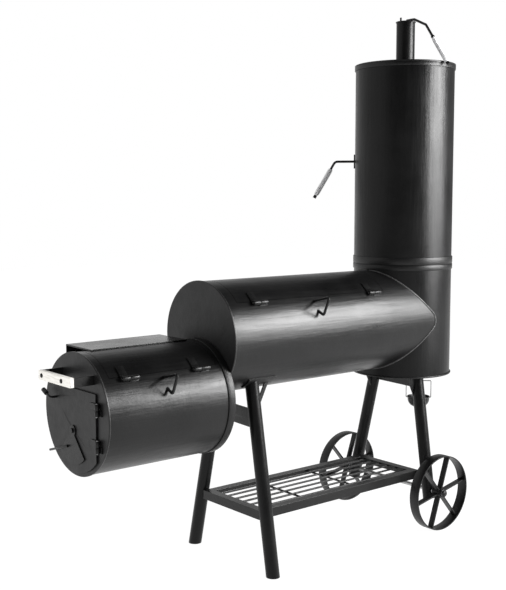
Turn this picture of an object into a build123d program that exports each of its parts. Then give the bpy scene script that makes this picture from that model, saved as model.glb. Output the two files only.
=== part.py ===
from build123d import *
import os
from math import cos, degrees, radians, sin, tan

# Offset smoker: a horizontal firebox and cooking chamber, an upright smoke tower over a coped base,
# four splayed legs with a wire shelf, and two spoked wheels at the tower end.
# +X runs from the firebox to the tower, +Y is the side with the lid handles, -Y is the hinge side,
# +Z is up. The origin is on the floor at the centre of the object's footprint.

# ---- driving dimensions, millimetres and degrees ----
PIPE_R = 203.2                  # 16 inch pipe, used for the chamber, the firebox and the tower
WALL = 6.0
PLATE = 6.0
KERF = 1.5                      # saw cut left around a lid or a door
FIT = 0.06                      # radial clearance of a running fit
AIR = 0.5                       # clearance between faces that slide past each other

CHAMBER_X = -337.0              # outer face of the chamber's end plate
CHAMBER_Z = 848.0
TOWER_OFFSET = 1064.0           # chamber end plate to tower axis
NOSE_R = 48.0                   # rounding of the cope's tip, where the pipes are the same size
NOSE_SETBACK = 10.0
FIREBOX_LENGTH = 506.0
FIREBOX_Z = 641.0
COLLAR_WIDTH = 28.0
END_PLATE_R = 206.0

TOWER_FLOOR_Z = 613.0
TOWER_JOINT_Z = 1075.0
TOWER_TOP_Z = 1891.0
FLOOR_PLATE_R = 208.0
BAND_R = 207.0
BAND_HEIGHT = 22.0
CHIMNEY_R = 38.0
CHIMNEY_WALL = 3.0
CHIMNEY_TOP_Z = 2064.0

LID_FRONT = 8.0                 # lid edges, degrees from +Y towards +Z about the pipe's axis
LID_REAR = 138.0
CHAMBER_LID = (50.0, 784.0)     # lid ends, measured from the chamber's end plate
FIREBOX_LID = (-470.0, -44.0)
LEDGE_WIDTH = 14.0
LEDGE_THICKNESS = 4.0

KNUCKLE_R = 8.0
HINGE_PIN_R = 4.0
HINGE_ANGLE = 141.5
HINGE_R = PIPE_R + KNUCKLE_R + 0.8
STRAP_THICKNESS = 5.0
STRAP_WIDTH = 28.0
BARREL_LENGTH = 34.0
STRAP_REACH = 11.0              # degrees that a strap lies along its lid
CHAMBER_HINGES = (112.0, 692.0)
FIREBOX_HINGES = (-431.0, -147.0)
STOP_ROD_R = 5.0
CHAMBER_STOP = 406.0
FIREBOX_STOP = -269.0

HANDLE_ROD_R = 5.0
GRIP_R = 9.5

LEG_R = 25.0
LEG_WALL = 3.0
FOOT_Y = 235.0
SPLAY = 9.9
LEFT_LEG = 145.0
RIGHT_LEG = 1010.0
SADDLE_THICKNESS = 5.0

WHEEL_R = 152.0
WHEEL_WIDTH = 44.0
WHEEL_Y = 265.0
RIM_THICKNESS = 5.0
AXLE_R = 8.0
AXLE_END = 298.0
SPOKE_ANGLES = (11.0, 71.0, 131.0)

SHELF_Z = 226.0
SHELF_Y = 168.0
SHELF_ANGLE = 34.0
SHELF_ROD_R = 4.0

# ---- places worked out from the driving dimensions ----
INNER_R = PIPE_R - WALL
KERF_ANGLE = degrees(KERF / PIPE_R)
TOWER_X = CHAMBER_X + TOWER_OFFSET
FIREBOX_X = CHAMBER_X - FIREBOX_LENGTH
LEFT_LEG_X = CHAMBER_X + LEFT_LEG
RIGHT_LEG_X = CHAMBER_X + RIGHT_LEG
# How far each leg leans towards +X for a unit of height, and the height that it leans about
LEG_LEAN = {
    (LEFT_LEG_X, -1): (0.0, 0.0),
    (LEFT_LEG_X, 1): (0.05, 0.0),
    (RIGHT_LEG_X, -1): (0.025, WHEEL_R),
    (RIGHT_LEG_X, 1): (0.08, WHEEL_R),
}
HINGE_Y = HINGE_R * cos(radians(HINGE_ANGLE))
HINGE_DZ = HINGE_R * sin(radians(HINGE_ANGLE))

os.makedirs("parts", exist_ok=True)


# ---- shared shapes ----
def export(builder, name):
    """Label a finished piece and write it to its own file."""
    builder.part.label = name
    export_step(builder.part, f"parts/{name}.step")


def polar(radius, angle):
    """A point at a radius and an angle in degrees."""
    return (radius * cos(radians(angle)), radius * sin(radians(angle)))


def across(x, z):
    """A plane square to the X axis: its own x runs along +Y and its own y runs up."""
    return Plane(origin=(x, 0, z), x_dir=(0, 1, 0), z_dir=(1, 0, 0))


def sector(outer, inner, start, end):
    """The band between two radii, from one angle to another."""
    with BuildSketch() as band:
        with BuildLine():
            CenterArc((0, 0), outer, start, end - start)
            CenterArc((0, 0), inner, start, end - start)
            for angle in (start, end):
                Line(polar(inner, angle), polar(outer, angle))
        make_face()
    return band.sketch


def bent_rod(points, rod_radius, bend_radius):
    """A round rod along a route with equal bends."""
    with BuildPart() as rod:
        with BuildLine() as route:
            if len(points) > 2:
                FilletPolyline(*points, radius=bend_radius)
            else:
                Line(*points)
        with BuildSketch(Plane(origin=route.line @ 0, z_dir=route.line % 0)):
            Circle(rod_radius)
        sweep(path=route.line)
    return rod.part


def tube(plane, outer, inner, length):
    """A straight tube that stands on a plane."""
    with BuildPart() as pipe:
        with BuildSketch(plane):
            Circle(outer)
            Circle(inner, mode=Mode.SUBTRACT)
        extrude(amount=length)
    return pipe.part


def rod_end(points, length):
    """The last stretch of a route: its end point and the point a given length before it."""
    tip, before = Vector(points[-1]), Vector(points[-2])
    return tip - (tip - before).normalized() * length, tip


def grip_sleeve(points, length, tip_gap):
    """The closed outer shape of a coil grip, slid over the end of a handle rod."""
    start, tip = rod_end(points, length + tip_gap)
    return tube(Plane(origin=start, z_dir=tip - start), GRIP_R, HANDLE_ROD_R, length)


def strap_profile(reach, edge, hinge):
    """A strap on the pipe from reach to the lid's edge, then lifted clear up to its rolled knuckle."""
    with BuildSketch() as profile:
        add(sector(PIPE_R + STRAP_THICKNESS, PIPE_R, *sorted((reach, edge))))
        add(sector(PIPE_R + STRAP_THICKNESS + 1, PIPE_R + 1, *sorted((edge, hinge))))
        with Locations(polar(HINGE_R, hinge)):
            Circle(KNUCKLE_R)
            Circle(HINGE_PIN_R + FIT, mode=Mode.SUBTRACT)
    return profile.sketch


def barrel_profile(hinge):
    """A weld-on barrel with its foot on the pipe."""
    with BuildSketch() as profile:
        add(sector(PIPE_R + 3, PIPE_R, hinge - 2.6, hinge + 2.6))
        with Locations(polar(HINGE_R, hinge)):
            Circle(KNUCKLE_R)
            Circle(HINGE_PIN_R, mode=Mode.SUBTRACT)
    return profile.sketch


# ---- cooking chamber ----
def slotted_pipe(plane, length, opening, front, rear):
    """A pipe along X with an opening cut for its lid; opening gives the cut's ends along X."""
    with BuildPart() as pipe:
        with BuildSketch(plane):
            Circle(PIPE_R)
            Circle(INNER_R, mode=Mode.SUBTRACT)
        extrude(amount=length)
        with BuildSketch(across(opening[0], plane.origin.Z)):
            add(sector(PIPE_R + 15, INNER_R - 15, front, rear))
        extrude(amount=opening[1] - opening[0], mode=Mode.SUBTRACT)
    return pipe.part


with BuildPart() as chamber_shell:
    add(
        slotted_pipe(
            across(CHAMBER_X + PLATE, CHAMBER_Z),
            TOWER_OFFSET - NOSE_SETBACK - PLATE,
            (CHAMBER_X + CHAMBER_LID[0] - KERF, CHAMBER_X + CHAMBER_LID[1] + KERF),
            LID_FRONT - KERF_ANGLE,
            LID_REAR + KERF_ANGLE,
        )
    )
    with BuildSketch(Plane.XZ.offset(-300)) as saddle:
        with Locations((TOWER_X, CHAMBER_Z)):
            Polygon((-2000, -260), (-260, -260), (0, 0), (-260, 260), (-2000, 260), align=None)
        fillet(saddle.vertices().sort_by(Axis.X)[-1], NOSE_R)
    extrude(amount=600, mode=Mode.INTERSECT)
    with BuildSketch(Plane.XY.offset(CHAMBER_Z - 300)):
        with Locations((TOWER_X, 0)):
            Circle(PIPE_R + 0.2)
    extrude(amount=600, mode=Mode.SUBTRACT)
export(chamber_shell, "chamber_shell")

THROAT_R = 182.0
THROAT_DROP = CHAMBER_Z - FIREBOX_Z
with BuildSketch() as throat:
    Circle(THROAT_R)
    with Locations((0, -THROAT_DROP)):
        Circle(THROAT_R, mode=Mode.INTERSECT)

with BuildPart() as chamber_end_plate:
    with BuildSketch(across(CHAMBER_X, CHAMBER_Z)):
        Circle(END_PLATE_R)
        add(throat.sketch, mode=Mode.SUBTRACT)
    extrude(amount=PLATE)
export(chamber_end_plate, "chamber_end_plate")


def lid_ledge(ends, axis_z):
    """Four strips welded inside an opening, for the lid to rest over."""
    x_start, x_end = CHAMBER_X + ends[0] - KERF, CHAMBER_X + ends[1] + KERF
    under = INNER_R - AIR
    deep = INNER_R - AIR - LEDGE_THICKNESS
    width = degrees(LEDGE_WIDTH / INNER_R)
    front, rear = LID_FRONT - KERF_ANGLE, LID_REAR + KERF_ANGLE
    with BuildPart() as ledge:
        for edge, inward in ((front, 1), (rear, -1)):
            with BuildSketch(across(x_start, axis_z)):
                add(sector(under, deep, *sorted((edge + inward * width, edge))))
                add(sector(INNER_R, deep, *sorted((edge, edge - inward * width))))
            extrude(amount=x_end - x_start)
        for x, inward in ((x_start, 1), (x_end, -1)):
            with BuildSketch(across(x, axis_z)):
                add(sector(under, deep, front + width, rear - width))
            extrude(amount=inward * LEDGE_WIDTH)
            with BuildSketch(across(x, axis_z)):
                add(sector(INNER_R, deep, front - width, rear + width))
            extrude(amount=-inward * LEDGE_WIDTH)
    return ledge.part


def lid_shell(ends, axis_z, name):
    """The piece cut out of a pipe, trimmed all round by the saw cut."""
    with BuildPart() as lid:
        with BuildSketch(across(CHAMBER_X + ends[0], axis_z)):
            add(sector(PIPE_R, INNER_R, LID_FRONT, LID_REAR))
        extrude(amount=ends[1] - ends[0])
    export(lid, name)


def lid_straps(starts, axis_z, name):
    """Two hinge straps, each rolled into a knuckle."""
    with BuildPart() as straps:
        for start in starts:
            with BuildSketch(across(CHAMBER_X + start, axis_z)):
                add(strap_profile(LID_REAR - STRAP_REACH, LID_REAR - 0.2, HINGE_ANGLE))
            extrude(amount=STRAP_WIDTH)
    export(straps, name)


def lid_stop(x, axis_z):
    """A bent rod that stands out from the pipe and catches the open lid."""
    upper_foot, lower_foot = polar(PIPE_R - 1.5, 144), polar(PIPE_R - 1.5, 155)
    corners = [upper_foot, (-245, 140), (-214, 71), lower_foot]
    route = [(CHAMBER_X + x, y, axis_z + z) for y, z in corners]
    with BuildPart() as stop:
        add(bent_rod(route, STOP_ROD_R, 7))
        with BuildSketch(across(CHAMBER_X + x - 20, axis_z)):
            Circle(PIPE_R)
        extrude(amount=40, mode=Mode.SUBTRACT)
    return stop.part


def lid_handle(x, axis_z, angle, names):
    """A rod welded to the lid, bent down along it, with a coil grip and an end knob."""
    foot, knee = polar(PIPE_R, angle), polar(PIPE_R + 62, angle)
    slope = radians(angle - 24)
    tip = (knee[0] + 165 * sin(slope), knee[1] - 165 * cos(slope))
    route = [(x, y, axis_z + z) for y, z in (foot, knee, tip)]
    build_handle(route, 118, names)


def build_handle(route, grip_length, names):
    """Write a handle's rod, with its end knob, and its coil grip."""
    knob_start, _ = rod_end(route, 12)
    with BuildPart() as rod:
        add(bent_rod(route, HANDLE_ROD_R, 16))
        with BuildSketch(Plane(origin=knob_start, z_dir=Vector(route[-1]) - Vector(route[-2]))):
            Circle(HANDLE_ROD_R + 2)
        extrude(amount=12)
    export(rod, names[0])
    with BuildPart() as grip:
        add(grip_sleeve(route, grip_length, 12))
    export(grip, names[1])


lid_shell(CHAMBER_LID, CHAMBER_Z, "chamber_lid")
lid_straps(CHAMBER_HINGES, CHAMBER_Z, "chamber_lid_straps")
CHAMBER_HANDLE_X = CHAMBER_X + (CHAMBER_LID[0] + CHAMBER_LID[1]) / 2
lid_handle(CHAMBER_HANDLE_X, CHAMBER_Z, 40, ("chamber_lid_handle", "chamber_lid_grip"))

# Cooking grate: two halves of round bars in a flat frame, on a rail along each wall
GRATE_DZ = -24.0
GRATE_HALF_WIDTH = 182.0
GRATE_LENGTH = 368.0
GRATE_BAR_R = 3.0
GRATE_STARTS = (22.0, 394.0)


GRATE_Z = CHAMBER_Z + GRATE_DZ
GRATE_BAR_PITCH = 16.0
with BuildPart() as cooking_grates:
    for start in GRATE_STARTS:
        middle = CHAMBER_X + start + GRATE_LENGTH / 2
        with BuildSketch(Plane(origin=(middle, -GRATE_HALF_WIDTH, GRATE_Z), z_dir=(0, 1, 0), x_dir=(1, 0, 0))):
            with GridLocations(GRATE_BAR_PITCH, 1, int(GRATE_LENGTH // GRATE_BAR_PITCH), 1):
                Circle(GRATE_BAR_R)
        extrude(amount=2 * GRATE_HALF_WIDTH)
        with BuildSketch(Plane.XY.offset(GRATE_Z - GRATE_BAR_R)):
            with Locations((middle, 0)):
                with GridLocations(1, 2 * GRATE_HALF_WIDTH - 8, 1, 2):
                    Rectangle(GRATE_LENGTH, 8)
        extrude(amount=2 * GRATE_BAR_R)
export(cooking_grates, "cooking_grates")

# ---- firebox ----
with BuildPart() as firebox_shell:
    add(
        slotted_pipe(
            across(FIREBOX_X + PLATE, FIREBOX_Z),
            FIREBOX_LENGTH - 2 * PLATE,
            (CHAMBER_X + FIREBOX_LID[0] - KERF, CHAMBER_X + FIREBOX_LID[1] + KERF),
            LID_FRONT - KERF_ANGLE,
            LID_REAR + KERF_ANGLE,
        )
    )
export(firebox_shell, "firebox_shell")

with BuildPart() as firebox_back_plate:
    with BuildSketch(across(CHAMBER_X - PLATE, FIREBOX_Z)):
        Circle(PIPE_R)
        with Locations((0, THROAT_DROP)):
            add(throat.sketch, mode=Mode.SUBTRACT)
    extrude(amount=PLATE)
export(firebox_back_plate, "firebox_back_plate")

# Door opening: a circle cut off flat at the top and along the hinge edge
DOOR_R = 192.0
DOOR_TOP = 87.0
DOOR_HINGE_EDGE = -136.0
DOOR_LAP = 14.0


def door_outline(inset):
    """The door's outline, drawn smaller by the inset."""
    radius = DOOR_R - inset
    low, high = DOOR_HINGE_EDGE + inset, radius
    with BuildSketch() as outline:
        Circle(radius)
        with Locations(((low + high) / 2, (DOOR_TOP - inset - radius) / 2)):
            Rectangle(high - low, DOOR_TOP - inset + radius, mode=Mode.INTERSECT)
    return outline.sketch


with BuildPart() as firebox_end_plate:
    with BuildSketch(across(FIREBOX_X, FIREBOX_Z)):
        Circle(END_PLATE_R)
        add(door_outline(DOOR_LAP), mode=Mode.SUBTRACT)
    extrude(amount=PLATE)
export(firebox_end_plate, "firebox_end_plate")

DOOR_FACE_X = FIREBOX_X - AIR - PLATE
DAMPER_Y, DAMPER_DZ = 8.0, -54.0
DAMPER_R = 112.0
DAMPER_SWEEP = (-132.0, -42.0)
LATCH_Y, LATCH_DZ = 118.0, 42.0
LATCH_SPINDLE_R = 4.0
DAMPER_PIN_R = 4.0

with BuildPart() as firebox_door:
    with BuildSketch(across(DOOR_FACE_X, FIREBOX_Z)):
        add(door_outline(0))
        with Locations((DAMPER_Y, DAMPER_DZ)):
            add(sector(DAMPER_R - 16, 26, DAMPER_SWEEP[0] + 14, DAMPER_SWEEP[1] - 14), mode=Mode.SUBTRACT)
            Circle(DAMPER_PIN_R, mode=Mode.SUBTRACT)
        with Locations((LATCH_Y, LATCH_DZ)):
            Circle(LATCH_SPINDLE_R + FIT, mode=Mode.SUBTRACT)
    extrude(amount=PLATE)
export(firebox_door, "firebox_door")

# Door hinges: a vertical pin in front of the end plate, beside the door's straight edge
DOOR_PIN_X = FIREBOX_X - 10.0
DOOR_PIN_Y = -150.0
DOOR_KNUCKLE_R = 7.5
DOOR_KNUCKLE = 20.0
DOOR_HINGE_Z = (540.0, 659.0)
LEAF = 4.0

with BuildPart() as door_hinge_leaves:
    for z in DOOR_HINGE_Z:
        with BuildSketch(Plane.XY.offset(z + DOOR_KNUCKLE + AIR)):
            with Locations((DOOR_FACE_X - LEAF / 2, DOOR_PIN_Y + 20)):
                Rectangle(LEAF, 40)
            with Locations((DOOR_PIN_X, DOOR_PIN_Y)):
                Circle(DOOR_KNUCKLE_R)
                Circle(HINGE_PIN_R + FIT, mode=Mode.SUBTRACT)
        extrude(amount=DOOR_KNUCKLE)
export(door_hinge_leaves, "door_hinge_leaves")

# Air damper: a quarter plate that swings over a hole in the door, with a lever rod
DAMPER_X = DOOR_FACE_X - AIR - 4.0
LEVER_R = 4.0
with BuildPart() as air_damper:
    with BuildSketch(across(DAMPER_X, FIREBOX_Z + DAMPER_DZ)):
        with Locations((DAMPER_Y, 0)):
            add(sector(DAMPER_R, 10, *DAMPER_SWEEP))
            Circle(18)
            Circle(DAMPER_PIN_R + FIT, mode=Mode.SUBTRACT)
    extrude(amount=4)
    lever = [(DAMPER_X - LEVER_R + 0.5, DAMPER_Y + 26, -56), (DAMPER_X - LEVER_R + 0.5, DAMPER_Y + 146, -92)]
    add(bent_rod([(x, y, FIREBOX_Z + DAMPER_DZ + z) for x, y, z in lever], LEVER_R, 0))
export(air_damper, "air_damper")

with BuildPart() as air_damper_pin:
    with BuildSketch(across(DAMPER_X - 5, FIREBOX_Z + DAMPER_DZ)):
        with Locations((DAMPER_Y, 0)):
            Circle(8)
    extrude(amount=4.5)
    with BuildSketch(across(DAMPER_X - 5, FIREBOX_Z + DAMPER_DZ)):
        with Locations((DAMPER_Y, 0)):
            Circle(DAMPER_PIN_R)
    extrude(amount=5 + 4 + AIR + PLATE)
export(air_damper_pin, "air_damper_pin")

# Door latch: a bent spindle with a knob outside and a tongue inside, shown turned clear
TONGUE_X = FIREBOX_X + PLATE + 2.0
with BuildPart() as firebox_door_latch:
    outside = DOOR_FACE_X - 24
    latch_z = FIREBOX_Z + LATCH_DZ
    add(
        bent_rod(
            [(TONGUE_X + 4, LATCH_Y, latch_z), (outside, LATCH_Y, latch_z), (outside, LATCH_Y + 34, latch_z + 15)],
            LATCH_SPINDLE_R,
            9,
        )
    )
    with BuildSketch(
        Plane(origin=(outside, LATCH_Y + 24, latch_z + 15 * 24 / 34), z_dir=(0, 34, 15), x_dir=(1, 0, 0))
    ):
        Circle(8)
    extrude(amount=24)
    with BuildSketch(across(TONGUE_X, FIREBOX_Z)):
        with Locations((LATCH_Y, LATCH_DZ - 28)):
            Rectangle(16, 72)
    extrude(amount=4)
export(firebox_door_latch, "firebox_door_latch")

lid_shell(FIREBOX_LID, FIREBOX_Z, "firebox_lid")
lid_straps(FIREBOX_HINGES, FIREBOX_Z, "firebox_lid_straps")
with BuildPart() as lid_ledges:
    add(lid_ledge(CHAMBER_LID, CHAMBER_Z))
    add(lid_ledge(FIREBOX_LID, FIREBOX_Z))
export(lid_ledges, "lid_ledges")

with BuildPart() as lid_stops:
    add(lid_stop(CHAMBER_STOP, CHAMBER_Z))
    add(lid_stop(FIREBOX_STOP, FIREBOX_Z))
export(lid_stops, "lid_stops")

FIREBOX_HANDLE_X = CHAMBER_X + (FIREBOX_LID[0] + FIREBOX_LID[1]) / 2
lid_handle(FIREBOX_HANDLE_X, FIREBOX_Z, 28, ("firebox_lid_handle", "firebox_lid_grip"))

# Warming plate: a flat plate along the crown of the firebox lid, with a flange down to the lid on the +Y side
WARMING_X = (CHAMBER_X - 447.0, CHAMBER_X - 61.0)
WARMING_Y = (-4.0, 166.0)
WARMING_THICKNESS = 5.0
with BuildPart() as warming_plate:
    length = WARMING_X[1] - WARMING_X[0]
    with BuildSketch(Plane.XY.offset(FIREBOX_Z + PIPE_R)):
        with Locations(((WARMING_X[0] + WARMING_X[1]) / 2, (WARMING_Y[0] + WARMING_Y[1]) / 2)):
            Rectangle(length, WARMING_Y[1] - WARMING_Y[0])
    extrude(amount=WARMING_THICKNESS)
    with BuildSketch(across(WARMING_X[0], FIREBOX_Z)):
        with Locations((WARMING_Y[1] - WARMING_THICKNESS / 2, PIPE_R - 45 + 0.5)):
            Rectangle(WARMING_THICKNESS, 90)
        Circle(PIPE_R, mode=Mode.SUBTRACT)
    extrude(amount=length)
export(warming_plate, "warming_plate")

# Charcoal grate on two rails
COAL_DZ = -95.0
COAL_HALF_WIDTH = 158.0
COAL_X = (FIREBOX_X + 26.0, CHAMBER_X - 26.0)
with BuildPart() as charcoal_grate:
    middle = (COAL_X[0] + COAL_X[1]) / 2
    with BuildSketch(across(COAL_X[0], FIREBOX_Z + COAL_DZ)):
        with GridLocations(26, 1, 13, 1):
            Rectangle(10, 10)
    extrude(amount=COAL_X[1] - COAL_X[0])
    with BuildSketch(Plane.XY.offset(FIREBOX_Z + COAL_DZ - 9)):
        with Locations((middle, 0)):
            with GridLocations(190, 1, 3, 1):
                Rectangle(14, 2 * COAL_HALF_WIDTH)
    extrude(amount=5)
export(charcoal_grate, "charcoal_grate")

# Transport handle: a flat bar bolted across the front of a bent strap on the end plate
BAR_Y = (-122.0, 88.0)
BAR_Z = 771.0
BAR_HEIGHT = 30.0
BAR_THICKNESS = 14.0
STRAP_STANDOFF = 74.0
BOLT_Y = (-66.0, 64.0)
STRAP_FACE_X = FIREBOX_X - STRAP_STANDOFF
HANDLE_STRAP = 5.0
with BuildPart() as transport_handle_strap:
    with BuildSketch(Plane.XY.offset(BAR_Z - BAR_HEIGHT / 2)):
        with Locations((STRAP_FACE_X + STRAP_STANDOFF / 2, (BAR_Y[0] + BAR_Y[1]) / 2)):
            Rectangle(STRAP_STANDOFF, BAR_Y[1] - BAR_Y[0])
        with Locations((STRAP_FACE_X + HANDLE_STRAP + STRAP_STANDOFF / 2, (BAR_Y[0] + BAR_Y[1]) / 2)):
            Rectangle(STRAP_STANDOFF, BAR_Y[1] - BAR_Y[0] - 2 * HANDLE_STRAP, mode=Mode.SUBTRACT)
    extrude(amount=BAR_HEIGHT)
    with BuildSketch(across(STRAP_FACE_X, BAR_Z)):
        with Locations(*[(y, 0) for y in BOLT_Y]):
            Circle(4)
    extrude(amount=HANDLE_STRAP, mode=Mode.SUBTRACT)
export(transport_handle_strap, "transport_handle_strap")

with BuildPart() as transport_handle_bar:
    with BuildSketch(across(STRAP_FACE_X - BAR_THICKNESS, BAR_Z)):
        with Locations(((BAR_Y[0] + BAR_Y[1]) / 2, 0)):
            RectangleRounded(BAR_Y[1] - BAR_Y[0], BAR_HEIGHT + 2, 4)
        with Locations(*[(y, 0) for y in BOLT_Y]):
            Circle(4, mode=Mode.SUBTRACT)
    extrude(amount=BAR_THICKNESS)
    fillet(transport_handle_bar.faces().sort_by(Axis.X)[0].outer_wire().edges(), 3)
export(transport_handle_bar, "transport_handle_bar")

with BuildPart() as transport_handle_bolts:
    for plane, depth, head in (
        (across(STRAP_FACE_X - BAR_THICKNESS - 4, BAR_Z), 4, 7.5),
        (across(STRAP_FACE_X - BAR_THICKNESS - 4, BAR_Z), BAR_THICKNESS + HANDLE_STRAP + 11, 4),
        (across(STRAP_FACE_X + HANDLE_STRAP, BAR_Z), 5, 7.5),
    ):
        with BuildSketch(plane):
            with Locations(*[(y, 0) for y in BOLT_Y]):
                Circle(head)
        extrude(amount=depth)
export(transport_handle_bolts, "transport_handle_bolts")

# ---- smoke tower ----
UP_FROM_TOWER = Plane(origin=(TOWER_X, 0, 0), z_dir=(0, 0, 1))
with BuildPart() as tower_base_shell:
    add(tube(UP_FROM_TOWER.offset(TOWER_FLOOR_Z + PLATE), PIPE_R, INNER_R, TOWER_JOINT_Z - TOWER_FLOOR_Z - PLATE))
    with BuildSketch(across(TOWER_X - 260, CHAMBER_Z)):
        Circle(INNER_R - 6)
    extrude(amount=260, mode=Mode.SUBTRACT)
export(tower_base_shell, "tower_base_shell")

DRAIN_X, DRAIN_Y = CHAMBER_X + 1101.0, -69.0
DRAIN_R = 13.0
DRAIN_DROP = 16.0
with BuildPart() as tower_floor_plate:
    with BuildSketch(UP_FROM_TOWER.offset(TOWER_FLOOR_Z)):
        Circle(FLOOR_PLATE_R)
    extrude(amount=PLATE)
    with BuildSketch(UP_FROM_TOWER.offset(TOWER_FLOOR_Z)):
        with Locations((DRAIN_X - TOWER_X, DRAIN_Y)):
            Circle(DRAIN_R)
    extrude(amount=-DRAIN_DROP)
    with BuildSketch(UP_FROM_TOWER.offset(TOWER_FLOOR_Z + PLATE)):
        with Locations((DRAIN_X - TOWER_X, DRAIN_Y)):
            Circle(DRAIN_R - 3)
    extrude(amount=-DRAIN_DROP - PLATE, mode=Mode.SUBTRACT)
export(tower_floor_plate, "tower_floor_plate")

# Bands: one around the firebox where it meets the chamber, two either side of the tower's joint,
# and the cap's skirt at the top
with BuildPart() as pipe_bands:
    add(tube(across(CHAMBER_X - COLLAR_WIDTH, FIREBOX_Z), BAND_R, PIPE_R, COLLAR_WIDTH))
    add(tube(UP_FROM_TOWER.offset(TOWER_JOINT_Z - BAND_HEIGHT), BAND_R, PIPE_R, BAND_HEIGHT - 1.5))
    add(tube(UP_FROM_TOWER.offset(TOWER_JOINT_Z + 1.5), BAND_R, PIPE_R, BAND_HEIGHT + 6))
    add(tube(UP_FROM_TOWER.offset(TOWER_TOP_Z - BAND_HEIGHT), BAND_R, PIPE_R, BAND_HEIGHT - PLATE))
export(pipe_bands, "pipe_bands")

TOWER_DOOR = (44.0, 136.0)
TOWER_DOOR_Z = (1134.0, 1866.0)
TOWER_HINGE_ANGLE = 40.5
TOWER_HINGE_Z = (1250.0, 1716.0)
TOWER_LATCH_ANGLE = 131.0
TOWER_LATCH_Z = 1498.0
with BuildPart() as tower_shell:
    add(tube(UP_FROM_TOWER.offset(TOWER_JOINT_Z), PIPE_R, INNER_R, TOWER_TOP_Z - PLATE - TOWER_JOINT_Z))
    with BuildSketch(UP_FROM_TOWER.offset(TOWER_DOOR_Z[0] - KERF)):
        add(sector(PIPE_R + 15, INNER_R - 15, TOWER_DOOR[0] - KERF_ANGLE, TOWER_DOOR[1] + KERF_ANGLE))
    extrude(amount=TOWER_DOOR_Z[1] - TOWER_DOOR_Z[0] + 2 * KERF, mode=Mode.SUBTRACT)
export(tower_shell, "tower_shell")

with BuildPart() as tower_cap:
    with BuildSketch(UP_FROM_TOWER.offset(TOWER_TOP_Z - PLATE)):
        Circle(BAND_R)
        Circle(CHIMNEY_R, mode=Mode.SUBTRACT)
    extrude(amount=PLATE)
    fillet(tower_cap.faces().sort_by(Axis.Z)[-1].outer_wire().edges(), 2)
export(tower_cap, "tower_cap")

with BuildPart() as tower_door:
    with BuildSketch(UP_FROM_TOWER.offset(TOWER_DOOR_Z[0])):
        add(sector(PIPE_R, INNER_R, *TOWER_DOOR))
    extrude(amount=TOWER_DOOR_Z[1] - TOWER_DOOR_Z[0])
    latch_axis = (cos(radians(TOWER_LATCH_ANGLE)), sin(radians(TOWER_LATCH_ANGLE)), 0)
    with BuildSketch(Plane(origin=(TOWER_X, 0, TOWER_LATCH_Z), z_dir=latch_axis)):
        Circle(HANDLE_ROD_R + FIT)
    extrude(amount=PIPE_R + 10, mode=Mode.SUBTRACT)
export(tower_door, "tower_door")

with BuildPart() as tower_door_straps:
    for z in TOWER_HINGE_Z:
        with BuildSketch(UP_FROM_TOWER.offset(z)):
            add(strap_profile(TOWER_DOOR[0] + STRAP_REACH, TOWER_DOOR[0] + 0.2, TOWER_HINGE_ANGLE))
        extrude(amount=STRAP_WIDTH)
export(tower_door_straps, "tower_door_straps")

# Hinge barrels and pins: two for each lid and two for each door
LID_HINGES = [(x, CHAMBER_Z) for x in CHAMBER_HINGES] + [(x, FIREBOX_Z) for x in FIREBOX_HINGES]
with BuildPart() as hinge_barrels:
    for x, axis_z in LID_HINGES:
        with BuildSketch(across(CHAMBER_X + x + STRAP_WIDTH + 1, axis_z)):
            add(barrel_profile(HINGE_ANGLE))
        extrude(amount=BARREL_LENGTH)
    for z in TOWER_HINGE_Z:
        with BuildSketch(UP_FROM_TOWER.offset(z - 1 - BARREL_LENGTH)):
            add(barrel_profile(TOWER_HINGE_ANGLE))
        extrude(amount=BARREL_LENGTH)
    for z in DOOR_HINGE_Z:
        with BuildSketch(Plane.XY.offset(z)):
            with Locations((FIREBOX_X - LEAF / 2, DOOR_PIN_Y - 6)):
                Rectangle(LEAF, 20)
            with Locations((DOOR_PIN_X, DOOR_PIN_Y)):
                Circle(DOOR_KNUCKLE_R)
                Circle(HINGE_PIN_R, mode=Mode.SUBTRACT)
        extrude(amount=DOOR_KNUCKLE)
export(hinge_barrels, "hinge_barrels")

with BuildPart() as hinge_pins:
    for x, axis_z in LID_HINGES:
        with BuildSketch(across(CHAMBER_X + x - 2, axis_z)):
            with Locations(polar(HINGE_R, HINGE_ANGLE)):
                Circle(HINGE_PIN_R)
        extrude(amount=STRAP_WIDTH + 1 + BARREL_LENGTH + 2)
    for z in TOWER_HINGE_Z:
        with BuildSketch(UP_FROM_TOWER.offset(z - 1 - BARREL_LENGTH)):
            with Locations(polar(HINGE_R, TOWER_HINGE_ANGLE)):
                Circle(HINGE_PIN_R)
        extrude(amount=BARREL_LENGTH + 1 + STRAP_WIDTH + 2)
    for z in DOOR_HINGE_Z:
        with BuildSketch(Plane.XY.offset(z - 2)):
            with Locations((DOOR_PIN_X, DOOR_PIN_Y)):
                Circle(HINGE_PIN_R)
        extrude(amount=2 * DOOR_KNUCKLE + AIR + 4)
export(hinge_pins, "hinge_pins")

# Tower latch: a bent rod through the door with a coil grip outside and a tongue inside
LATCH_PLATE_R = PIPE_R + 7.0
LATCH_KNEE_R = PIPE_R + 84.0
LATCH_DROP = 60.0


def tower_point(radius, z):
    """A point on the latch's own upright plane through the tower's axis."""
    x, y = polar(radius, TOWER_LATCH_ANGLE)
    return (TOWER_X + x, y, z)


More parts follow.
